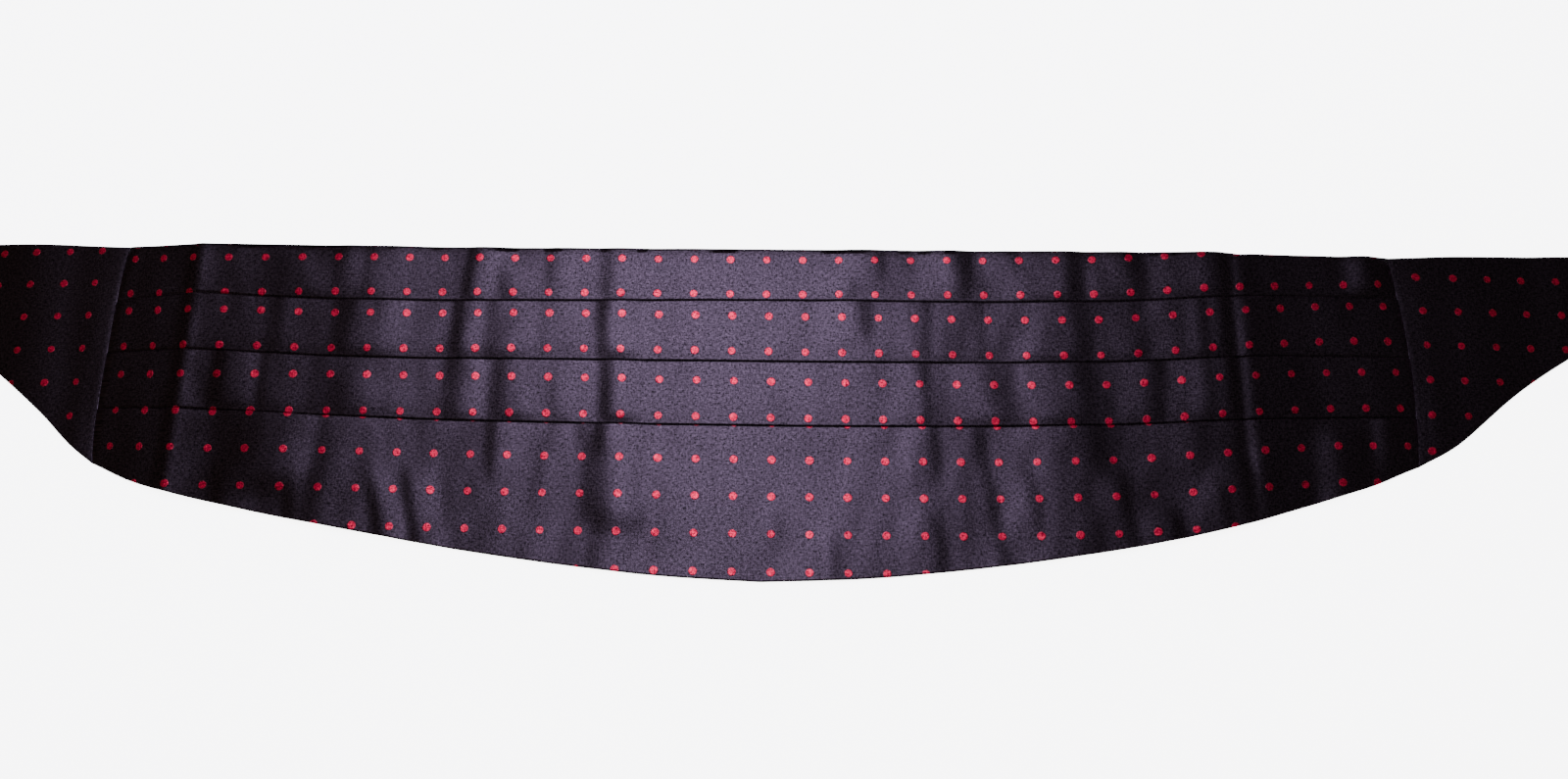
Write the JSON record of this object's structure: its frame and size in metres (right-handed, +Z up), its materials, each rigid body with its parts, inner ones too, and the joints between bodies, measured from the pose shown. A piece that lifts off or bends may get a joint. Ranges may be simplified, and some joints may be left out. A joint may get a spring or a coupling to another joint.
{
  "type": "cummerbund",
  "caption": "Pleated satin waist sash with a curved lower edge, tapered wings, narrow straps and a hook clasp, lying flat face up.",
  "frame": {"origin": "middle of the underside of the whole object, on the surface that it lies on", "axes": "+X along the sash to the hook's end, +Y to the straight upper edge, +Z up out of the face of the cloth"},
  "size_m": [0.903, 0.131, 0.0058],
  "materials": {
    "satin": "dark navy-violet satin twill with small crimson dots",
    "webbing": "plain dark woven strap",
    "clasp_metal": "plain satin nickel"
  },
  "bodies": {
    "root": {"front_panel": "satin", "wing_left": "satin", "wing_right": "satin", "strap_left": "webbing", "strap_right": "webbing", "clasp_ring": "clasp_metal", "clasp_hook": "clasp_metal"}
  },
  "joints": []
}
